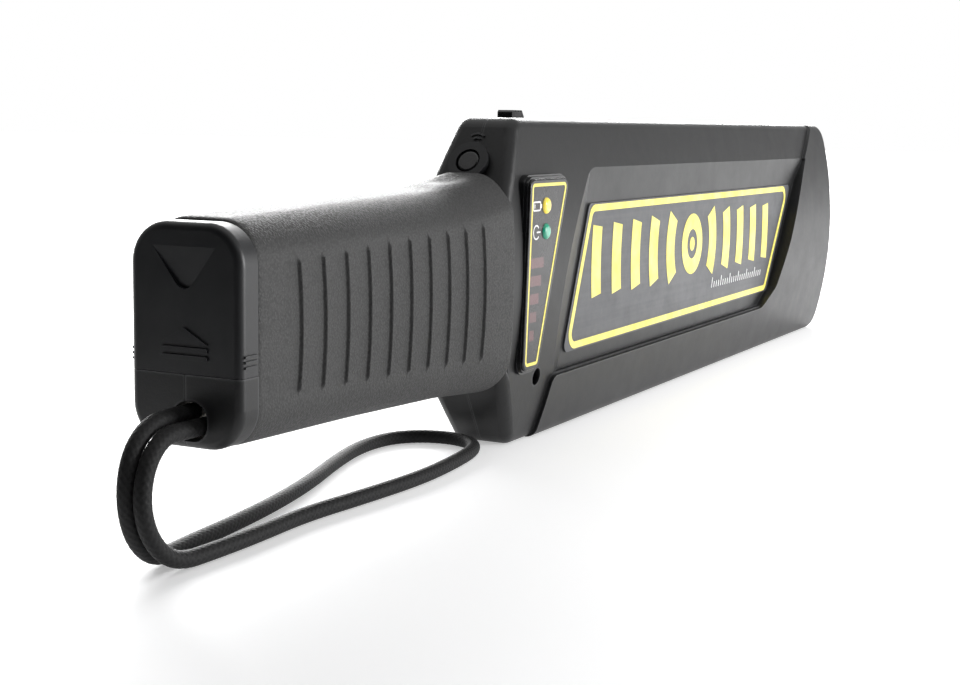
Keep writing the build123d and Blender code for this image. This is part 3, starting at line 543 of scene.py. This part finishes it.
def braidedLoop(settings):
    line, run = evenStations(smoothRoute(settings["route"]) / mm, settings["step"])
    sideways, upward = carriedFrames(line)
    angle = np.linspace(0, 2 * np.pi, settings["around"], endpoint=False)
    angle, length = np.meshgrid(angle, run)
    height = braidHeight(angle, length, settings)
    radius = settings["diameter"] / 2 * (1 - settings["relief"] * (1 - height))
    points = (line[:, None, :] + (radius * np.cos(angle))[..., None] * sideways[:, None, :]
              + (radius * np.sin(angle))[..., None] * upward[:, None, :])
    rows, columns = angle.shape
    quads = gridQuads(rows, columns, False, True)[:, ::-1]
    allPoints = np.concatenate([points.reshape(-1, 3), line[:1], line[-1:]])
    ring = np.arange(columns)
    following = (ring + 1) % columns
    startCap = np.stack([np.full(columns, rows * columns), ring, following], axis=1)[:, ::-1]
    last = (rows - 1) * columns
    endTip = np.full(columns, rows * columns + 1)
    endCap = np.stack([endTip, last + following, last + ring], axis=1)[:, ::-1]
    piece = newPiece("wristCord", allPoints, [quads, startCap, endCap], materials["cord"])
    braid = piece.data.attributes.new("braid", "FLOAT", "POINT")
    braid.data.foreach_set("value", np.concatenate([height.ravel(), [0.5, 0.5]]))
    return piece, line * mm, run[-1] * mm


wristCord, cordLine, cordLength = braidedLoop(lanyard)
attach(wristCord, "root")
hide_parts("wrist_lanyard")
print("wrist cord, metres:", round(cordLength, 4))


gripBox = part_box("rubber_grip")
capEnd = gripBox[0][0] / mm
grip = {
    "stations": [capEnd, -160.0, -121.0, -108.0, -95.6],
    "low": [20.2, 19.0, 17.4, 16.2, 15.2],
    "high": [63.4, 64.9, 66.2, 68.4, 70.0],
    "halfThick": [12.7, 13.1, 13.8, 14.25, 14.3],
    "corner": [8.2, 9.0, 9.8, 10.4, 10.4],
    "sideBow": [0.02, 0.035, 0.06, 0.08, 0.09],      # how much the sides pull in above and below
    "topArch": [0.4, 0.9, 1.6, 2.2, 2.4],            # how much the top falls towards its sides
    "core": (10.45, 22.6, 62.0, 5.0),                # half width, low, high, corner of the tube inside
    "smoothing": 12.0, "evenStep": 0.5, "wideStep": 0.8, "fineStep": 0.14,
    "mouthSteps": np.array([0, 0.2, 0.45, 0.8, 1.3]), "mouthDepth": 2.2,
    "lipBack": 0.5, "lipFront": 0.9, "lipFade": 0.5,     # rounding of the mouths' edges
    "perSide": 46,
    "perCorner": 16,
    "ribCount": 10, "ribFirst": -188.8, "ribPitch": 8.4, "ribHalfWidth": 0.5, "ribProud": 0.72,
    "ribReach": 1.25, "ribLean": 0.2,        # close stations: how far each side, and their shift
    "ribFlank": (0.3, 1.15),                 # where a rib's flank starts and ends, in half widths
    "ribLow": (29.6, 26.5), "ribHigh": (55.0, 57.7), "ribBow": 0.8,
    "scoop": (-105.5, 7.0, 5.5, 1.3),                # place, length, width and depth of the thumb scoop
}


def alongGrip(x, values, settings):
    # a size along the sleeve: straight between its stations, then smoothed
    even = np.arange(x[0], x[-1] + settings["evenStep"], settings["evenStep"])
    plain = np.interp(even, settings["stations"], values)
    reach = int(settings["smoothing"] / 2 / settings["evenStep"])
    weights = np.hanning(2 * reach + 1)
    weights /= weights.sum()
    lead = plain[0] + (plain[0] - plain[1:reach + 1][::-1])
    tail = plain[-1] + (plain[-1] - plain[-reach - 1:-1][::-1])
    smooth = np.convolve(np.concatenate([lead, plain, tail]), weights, "valid")
    return np.interp(x, even, smooth)


def gripStations(settings):
    # places along the sleeve: close together at its mouths and at each rib, further apart between
    first, last = settings["stations"][0], settings["stations"][-1]
    ribs = settings["ribFirst"] + np.arange(settings["ribCount"]) * settings["ribPitch"]
    reach = settings["ribReach"]
    around = np.arange(-reach, reach + 0.01, settings["fineStep"])
    nearRibs = (ribs[:, None] + around + settings["ribLean"]).ravel()
    mouths = np.concatenate([first + settings["mouthSteps"], last - settings["mouthSteps"]])
    between = np.arange(first + 1, last - 1, settings["wideStep"])
    gap = np.abs(between[:, None] - ribs - settings["ribLean"]).min(1)
    return np.unique(np.round(np.concatenate([nearRibs, mouths, between[gap > reach + 0.3]]), 3))


def ribHeight(x, z, settings):
    # narrow ridges across the side, each bowed towards the nose and fading at both ends
    total = np.zeros_like(x)
    for number in range(settings["ribCount"]):
        share = number / (settings["ribCount"] - 1)
        low = settings["ribLow"][0] + share * (settings["ribLow"][1] - settings["ribLow"][0])
        high = settings["ribHigh"][0] + share * (settings["ribHigh"][1] - settings["ribHigh"][0])
        place = (2 * z - low - high) / (high - low)
        bow = settings["ribBow"] * (1 - place ** 2)
        middle = settings["ribFirst"] + number * settings["ribPitch"] + bow
        across = np.clip(np.abs(x - middle) / settings["ribHalfWidth"], 0, 1.6)
        ends = smoothStep(z, low - 0.4, low + 0.5) * (1 - smoothStep(z, high - 0.5, high + 0.4))
        total = np.maximum(total, ends * (1 - smoothStep(across, *settings["ribFlank"])))
    return total * settings["ribProud"]


def rubberSleeve(settings):
    across, up, lookY, lookZ = roundedSection(settings["perSide"], settings["perCorner"])
    first, last = settings["stations"][0], settings["stations"][-1]
    x = gripStations(settings)
    sizes = {key: alongGrip(x, settings[key], settings)[:, None]
             for key in ("low", "high", "halfThick", "corner", "sideBow", "topArch")}
    half = (sizes["high"] - sizes["low"]) / 2
    middle = (sizes["high"] + sizes["low"]) / 2
    fade = settings["lipFade"]
    lip = (settings["lipBack"] * np.exp((first - x[:, None]) / fade)
           + settings["lipFront"] * np.exp((x[:, None] - last) / fade))
    y = across * (sizes["halfThick"] - sizes["corner"]) + lookY * (sizes["corner"] - lip)
    rise = up * (half - sizes["corner"]) + lookZ * (sizes["corner"] - lip)
    y = y * (1 - sizes["sideBow"] * (rise / half) ** 2)
    top = smoothStep(lookZ, 0.0, 0.8)
    z = middle + rise - sizes["topArch"] * top * (y / sizes["halfThick"]) ** 2
    station = np.broadcast_to(x[:, None], y.shape)
    place, length, width, depth = settings["scoop"]
    z = z - depth * top * np.exp(-((station - place) / length) ** 2 - (y / width) ** 2)
    onSide = smoothStep(np.abs(lookY), 0.9, 0.999)
    y = y + np.sign(lookY) * onSide * ribHeight(station, z, settings)
    outer = np.stack([station, y, z], axis=-1)
    coreHalf, coreLow, coreHigh, coreCorner = settings["core"]
    coreY = across * (coreHalf - coreCorner) + lookY * coreCorner
    coreZ = (coreLow + coreHigh) / 2 + up * ((coreHigh - coreLow) / 2 - coreCorner) + lookZ * coreCorner
    inner = [np.stack([np.full_like(coreY, depth), coreY, coreZ], axis=-1)
             for depth in (last - settings["mouthDepth"], (first + last) / 2, first)]
    loops = np.concatenate([outer, np.stack(inner)])
    rows, columns = loops.shape[:2]
    quads = gridQuads(rows, columns, True, True)[:, ::-1]
    return newPiece("gripSleeve", loops.reshape(-1, 3), [quads], materials["grip_rubber"])


gripSleeve = rubberSleeve(grip)
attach(gripSleeve, "root")
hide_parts("rubber_grip")
print("grip sleeve faces:", len(gripSleeve.data.polygons))


def roundedOutline(corners, inset, radius, perCorner):
    # outline of a convex polygon, moved in by inset, each corner an arc about the point that is
    # inset + radius away from both of its edges
    corners = np.array(corners, float)
    edges = np.roll(corners, -1, axis=0) - corners
    edges /= np.linalg.norm(edges, axis=1)[:, None]
    inward = np.stack([-edges[:, 1], edges[:, 0]], axis=1)
    before = np.roll(inward, 1, axis=0)
    dot = (before * inward).sum(1)[:, None]
    centres = corners + (before + inward) * (inset + radius) / (1 + dot)
    start = np.arctan2(-before[:, 1], -before[:, 0])
    sweep = np.arccos(np.clip(dot[:, 0], -1, 1))
    angles = start[:, None] + sweep[:, None] * np.linspace(0, 1, perCorner)
    arcs = centres[:, None, :] + radius * np.stack([np.cos(angles), np.sin(angles)], axis=-1)
    return arcs.reshape(-1, 2)


def strokeSection(path, width, closed):
    # left and right rails of a stroke of this width along a path in its plane
    if closed:
        along = np.roll(path, -1, axis=0) - np.roll(path, 1, axis=0)
    else:
        along = np.gradient(path, axis=0)
    along /= np.linalg.norm(along, axis=1)[:, None]
    side = np.stack([-along[:, 1], along[:, 0]], axis=1) * width / 2
    return path + side, path - side


def strokesOnPlane(name, rails, plane, thickness, material):
    # each stroke is a thin closed bar: its two rails on the plane and again at the thickness above
    # it; a point is origin + a * first axis + b * second axis + lift * the plane's outward look
    origin, firstAxis, secondAxis = (np.array(vector, float) for vector in plane[:3])
    outward = np.array(plane[3], float)
    flipped = np.dot(np.cross(firstAxis, secondAxis), outward) < 0
    points, faces, used = [], [], 0
    for left, right, closed in rails:
        count = len(left)
        lines = (left, 0.0), (left, thickness), (right, thickness), (right, 0.0)
        block = np.stack([origin + rail[:, :1] * firstAxis + rail[:, 1:] * secondAxis + lift * outward
                          for rail, lift in lines], axis=1)
        strokeFaces = [gridQuads(count, 4, closed, True)]
        if not closed:
            strokeFaces.append(np.array([[0, 1, 2, 3], np.array([3, 2, 1, 0]) + (count - 1) * 4]))
        for quads in strokeFaces:
            faces.append((quads[:, ::-1] if flipped else quads) + used)
        points.append(block.reshape(-1, 3))
        used += count * 4
    return newPiece(name, np.concatenate(points), faces, material, smooth=False)


def facePlane(y):
    # a plane across Y at this height, seen from the side that y is on
    return (0, y, 0), (1, 0, 0), (0, 0, 1), (0, np.sign(y), 0)


def ringRails(corners, inset, radius, width, perCorner=10):
    outer = roundedOutline(corners, inset, radius, perCorner)
    inner = roundedOutline(corners, inset + width, max(radius - width, 0.15), perCorner)
    return inner, outer, True


def arcPath(centre, radius, fromAngle, toAngle, count=40):
    angles = np.radians(np.linspace(fromAngle, toAngle, count))
    return np.stack([centre[0] + radius * np.cos(angles), centre[1] + radius * np.sin(angles)], axis=1)


def openStroke(path, width):
    left, right = strokeSection(np.array(path, float), width, False)
    return left, right, False


plateLow, plateHigh = (np.array(corner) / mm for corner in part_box("front_nameplate"))
noseSlant, noseLift, handleSlant = 27.0, 0.8, 15.9
plate = {
    "corners": [(plateLow[0], plateLow[2]), (plateHigh[0] - noseSlant, plateLow[2] + noseLift),
                (plateHigh[0], plateHigh[2]), (plateLow[0] + handleSlant, plateHigh[2])],
    "border": 1.9, "borderInset": 0.4, "borderCorner": 4.2,
    "inkThick": 0.07,
    "waveCentre": (45.0, 44.0), "waveHeight": 9.8,
    "waveRadii": [20.5, 35.5, 50.5, 65.5, 80.5], "waveWidths": [7.2, 7.2, 7.0, 6.8, 6.6],
    "coreRing": (7.3, 5.0), "coreDot": 2.3,
    "scaleStart": (66.0, 27.9), "scaleTicks": 24, "scalePitch": 2.4,
    "tickWidth": 0.6, "tickHeights": (3.4, 2.0), "tickLean": 0.3,
}


def wavesGraphic(settings):
    # a dot in a ring, with bold arcs going out from it to both sides, all of one height
    centre = settings["waveCentre"]
    rails = []
    dotRadius = settings["coreDot"] / 2
    for radius, width, sides in ((*settings["coreRing"], 48), (dotRadius, dotRadius * 1.92, 24)):
        circle = arcPath(centre, radius, 0, 360, sides + 1)[:-1]
        rails.append((*strokeSection(circle, width, True), True))
    for radius, width in zip(settings["waveRadii"], settings["waveWidths"]):
        spread = np.degrees(np.arcsin(settings["waveHeight"] / radius))
        for middle in (0, 180):
            rails.append(openStroke(arcPath(centre, radius, middle - spread, middle + spread), width))
    return rails


def scaleGraphic(settings):
    # a short row of fine ticks, every fourth one longer
    rails = []
    startX, startZ = settings["scaleStart"]
    for number in range(settings["scaleTicks"]):
        x = startX + number * settings["scalePitch"]
        height = settings["tickHeights"][0 if number % 4 == 0 else 1]
        lean = settings["tickLean"] * height
        rails.append(openStroke([(x, startZ), (x + lean / 2, startZ + height / 2),
                                 (x + lean, startZ + height)], settings["tickWidth"]))
    return rails


plateFaces = {"front": (plateLow[1], -1), "rear": (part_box("rear_nameplate")[1][1] / mm, 1)}
for sideName, (place, side) in plateFaces.items():
    films = [("Border", [ringRails(plate["corners"], plate["borderInset"], plate["borderCorner"],
                                   plate["border"])], "yellowInk")]
    if side < 0:
        films.append(("Waves", wavesGraphic(plate), "yellowInk"))
        films.append(("Scale", scaleGraphic(plate), "whiteInk"))
    for label, rails, ink in films:
        film = strokesOnPlane(sideName + "Plate" + label, rails, facePlane(place), plate["inkThick"],
                              materials[ink])
        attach(film, "root")
print("nameplate prints made")

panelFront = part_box("indicator_panel")[0][1] / mm
lights = {
    "corners": [(-90.0, 20.1), (-80.8, 20.1), (-63.6, 68.0), (-87.4, 68.0)],   # the bezel's corners
    "border": 1.05, "borderInset": 0.85, "borderCorner": 1.7, "inkThick": 0.05,
    "batteryCentre": (-83.5, 61.2), "batteryHalf": (2.2, 1.25), "line": 0.4,
    "tipLength": 0.6, "tipWidth": 1.1, "cellInset": 0.9, "cellHalf": 0.5, "cellWidth": 0.35,
    "powerCentre": (-83.6, 54.7), "powerRadius": 1.7, "powerGap": 38, "powerBar": (0.2, 1.3, 2.4),
}


def lightSymbols(settings):
    # a battery outline with its tip and one cell, and a broken ring with a bar through the gap
    x, z = settings["batteryCentre"]
    wide, high = settings["batteryHalf"]
    line = settings["line"]
    box = [(x - wide, z - high), (x + wide, z - high), (x + wide, z + high), (x - wide, z + high)]
    rails = [ringRails(box, 0.0, 0.5, line, 5)]
    tip = settings["tipLength"]
    rails.append(openStroke([(x + wide + run, z) for run in (0, tip / 2, tip)], settings["tipWidth"]))
    half, inset = settings["cellHalf"], settings["cellInset"]
    rails.append(openStroke([(x - wide + inset, z + rise) for rise in (-half, 0, half)],
                            settings["cellWidth"]))
    centre, gap = settings["powerCentre"], settings["powerGap"]
    rails.append(openStroke(arcPath(centre, settings["powerRadius"], gap, 360 - gap), line))
    rails.append(openStroke([(centre[0] + run, centre[1]) for run in settings["powerBar"]], line))
    return rails


for name, rails, ink in (
    ("lightPanelBorder", [ringRails(lights["corners"], lights["borderInset"], lights["borderCorner"],
                                    lights["border"])], "yellowInk"),
    ("lightPanelSymbols", lightSymbols(lights), "whiteInk"),
):
    film = strokesOnPlane(name, rails, facePlane(panelFront), lights["inkThick"], materials[ink])
    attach(film, "root")
print("light panel prints made")

buttonMark = {
    "centre": (-92.01, 0.8, 71.64), "look": (-0.857, 0.0, 0.514),      # the button's place and axis
    "up": 7.3, "radii": (1.5, 2.7), "spread": 42, "width": 0.55, "proud": 0.22,
}


def soundMark(settings):
    # two short arcs one above the other, raised on the slanted shoulder over the button
    rails = [openStroke(arcPath((0, settings["up"] - 1.5), radius, 90 - settings["spread"],
                                90 + settings["spread"], 14), settings["width"])
             for radius in settings["radii"]]
    look = settings["look"]
    plane = settings["centre"], (0, 1, 0), (look[2], 0, -look[0]), look
    return strokesOnPlane("buttonMark", rails, plane, settings["proud"], materials["housing"])


markPiece = soundMark(buttonMark)
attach(markPiece, "root")
print("button mark made")

studio = {
    "camera": (-437.6, -177.6, 81.1), "heading": 26.83, "dip": 7.94, "roll": 0.94, "lens": 58.5,
    "floorColour": (0.9, 0.9, 0.905), "skyColour": (1.0, 1.0, 1.0), "skyFar": 1.0, "skyNear": 0.03,
    "skyTurn": 18, "skyRiseAhead": (0.05, 0.8), "skyRiseUp": (0.25, 0.9),
    "flagX": -312.0, "flagAcross": (-200, 700), "flagHeights": (1.0, 170.0, 420.0),
    "floorReach": 6000, "floorRows": 13, "paperDrift": 0.985, "glowFull": 2.0,
    # metres ahead and how much the paper glows there, as over a lit table top
    "glowSteps": ((-0.34, 0.0), (-0.2, 0.3), (0.0, 0.44), (0.3, 0.48), (1.6, 1.1)),
}


def studioFloor(settings):
    # one plain level sheet of paper, a coarse grid, that glows more the further ahead it is
    rows = settings["floorRows"]
    reach = np.linspace(-settings["floorReach"], settings["floorReach"], rows)
    x, y = np.meshgrid(reach, reach, indexing="ij")
    points = np.stack([x, y, np.zeros_like(x)], axis=-1).reshape(-1, 3)
    material, nodes, links, shader = startMaterial("studioPaper")
    drift = noiseValue(nodes, links, objectCoords(nodes, links), 3.0, 2)
    low = tuple(value * settings["paperDrift"] for value in settings["floorColour"])
    links.new(mixColours(nodes, links, drift, low, settings["floorColour"]), shader.inputs["Base Color"])
    shader.inputs["Roughness"].default_value = 0.75
    shader.inputs["Specular IOR Level"].default_value = 0.2
    heading = np.radians(settings["heading"])
    ahead = nodes.new("ShaderNodeVectorMath")
    ahead.operation = "DOT_PRODUCT"
    ahead.inputs[1].default_value = (np.cos(heading), np.sin(heading), 0)
    links.new(objectCoords(nodes, links), ahead.inputs[0])
    shader.inputs["Emission Color"].default_value = (1, 1, 1, 1)
    curve = nodes.new("ShaderNodeFloatCurve")
    steps, full = settings["glowSteps"], settings["glowFull"]
    first, last = steps[0][0], steps[-1][0]
    knots = curve.mapping.curves[0].points
    for place, glow in steps[1:-1]:
        knots.new((place - first) / (last - first), glow / full)
    knots[0].location = (0, steps[0][1] / full)
    knots[-1].location = (1, steps[-1][1] / full)
    curve.mapping.update()
    links.new(rampValue(nodes, links, ahead.outputs["Value"], 0, 1, first, last), curve.inputs["Value"])
    glow = mathNode(nodes, links, "MULTIPLY", curve.outputs["Value"], full)
    links.new(glow, shader.inputs["Emission Strength"])
    return newPiece("studioFloor", points, [gridQuads(rows, rows, False, False)], material)


floor = studioFloor(studio)


def blackFlag(settings):
    # a dark card behind the handle: the camera doesn't see it and it casts no shadow, but it
    # darkens reflections and bounced light
    columns = 4
    across = np.linspace(*settings["flagAcross"], columns)
    heights = settings["flagHeights"]
    points = np.stack([np.stack([np.full(columns, settings["flagX"]), across,
                                 np.full(columns, height)], axis=-1) for height in heights])
    material, *rest, shader = startMaterial("blackFlock")
    shader.inputs["Base Color"].default_value = (0.003, 0.003, 0.003, 1)
    shader.inputs["Roughness"].default_value = 0.9
    quads = gridQuads(len(heights), columns, False, False)
    flag = newPiece("blackFlag", points.reshape(-1, 3), [quads], material)
    flag.visible_camera = False
    flag.visible_shadow = False
    return flag


blackFlag(studio)


def studioSky(settings):
    # a white cove: full brightness ahead of the camera and overhead, dim behind the camera, so
    # that what looks back at the camera stays dark; seen directly it is plain white all round
    world = bpy.data.worlds.new("studioWorld")
    world.use_nodes = True
    nodes, links = world.node_tree.nodes, world.node_tree.links
    background = nodes["Background"]
    background.inputs["Color"].default_value = (*settings["skyColour"], 1)
    coords = nodes.new("ShaderNodeTexCoord")
    dot = nodes.new("ShaderNodeVectorMath")
    dot.operation = "DOT_PRODUCT"
    heading = np.radians(settings["heading"] + settings["skyTurn"])
    dot.inputs[1].default_value = (np.cos(heading), np.sin(heading), 0)
    links.new(coords.outputs["Generated"], dot.inputs[0])
    dim, bright = settings["skyNear"], settings["skyFar"]
    ahead = rampValue(nodes, links, dot.outputs["Value"], dim, bright, *settings["skyRiseAhead"])
    split = nodes.new("ShaderNodeSeparateXYZ")
    links.new(coords.outputs["Generated"], split.inputs[0])
    above = rampValue(nodes, links, split.outputs["Z"], dim, bright, *settings["skyRiseUp"])
    ahead = mathNode(nodes, links, "MAXIMUM", ahead, above)
    direct = nodes.new("ShaderNodeLightPath").outputs["Is Camera Ray"]
    links.new(mathNode(nodes, links, "MAXIMUM", ahead, direct), background.inputs["Strength"])
    bpy.context.scene.world = world


studioSky(studio)
softBoxes = {
    "topBox": {"place": (170, 40, 850), "target": (170, 40, 0), "size": (1400, 1300), "watts": 96},
    "backBox": {"place": (1250, 900, 560), "target": (-50, 0, 40), "size": (1500, 700), "watts": 60},
    "rightBox": {"place": (420, -1150, 260), "target": (0, 0, 40), "size": (420, 420), "watts": 13},
}
for name, box in softBoxes.items():
    light = bpy.data.lights.new(name, "AREA")
    light.shape = "RECTANGLE"
    light.size = box["size"][0] * mm
    light.size_y = box["size"][1] * mm
    light.energy = box["watts"]
    lamp = bpy.data.objects.new(name, light)
    place = np.array(box["place"]) * mm
    look = np.array(box["target"]) * mm - place
    look /= np.linalg.norm(look)
    right = np.cross(look, (0, 0, 1))
    right /= np.linalg.norm(right)
    turn = Matrix(np.column_stack([right, np.cross(right, look), -look]).tolist()).to_4x4()
    lamp.matrix_world = Matrix.Translation(place.tolist()) @ turn
    bpy.context.scene.collection.objects.link(lamp)


def photographersCamera(settings):
    heading, dip, roll = (np.radians(settings[key]) for key in ("heading", "dip", "roll"))
    look = np.array([np.cos(heading) * np.cos(dip), np.sin(heading) * np.cos(dip), -np.sin(dip)])
    level = np.array([np.sin(heading), -np.cos(heading), 0])
    upright = np.cross(level, look)
    right = np.cos(roll) * level + np.sin(roll) * upright
    up = np.cos(roll) * upright - np.sin(roll) * level
    data = bpy.data.cameras.new("camera")
    data.lens = settings["lens"]
    data.sensor_width = 36
    data.clip_start = 0.01
    camera = bpy.data.objects.new("camera", data)
    turn = Matrix(np.column_stack([right, up, -look]).tolist()).to_4x4()
    camera.matrix_world = Matrix.Translation((np.array(settings["camera"]) * mm).tolist()) @ turn
    bpy.context.scene.collection.objects.link(camera)
    bpy.context.scene.camera = camera


photographersCamera(studio)
bpy.context.scene.view_settings.view_transform = "Standard"
print("studio ready")
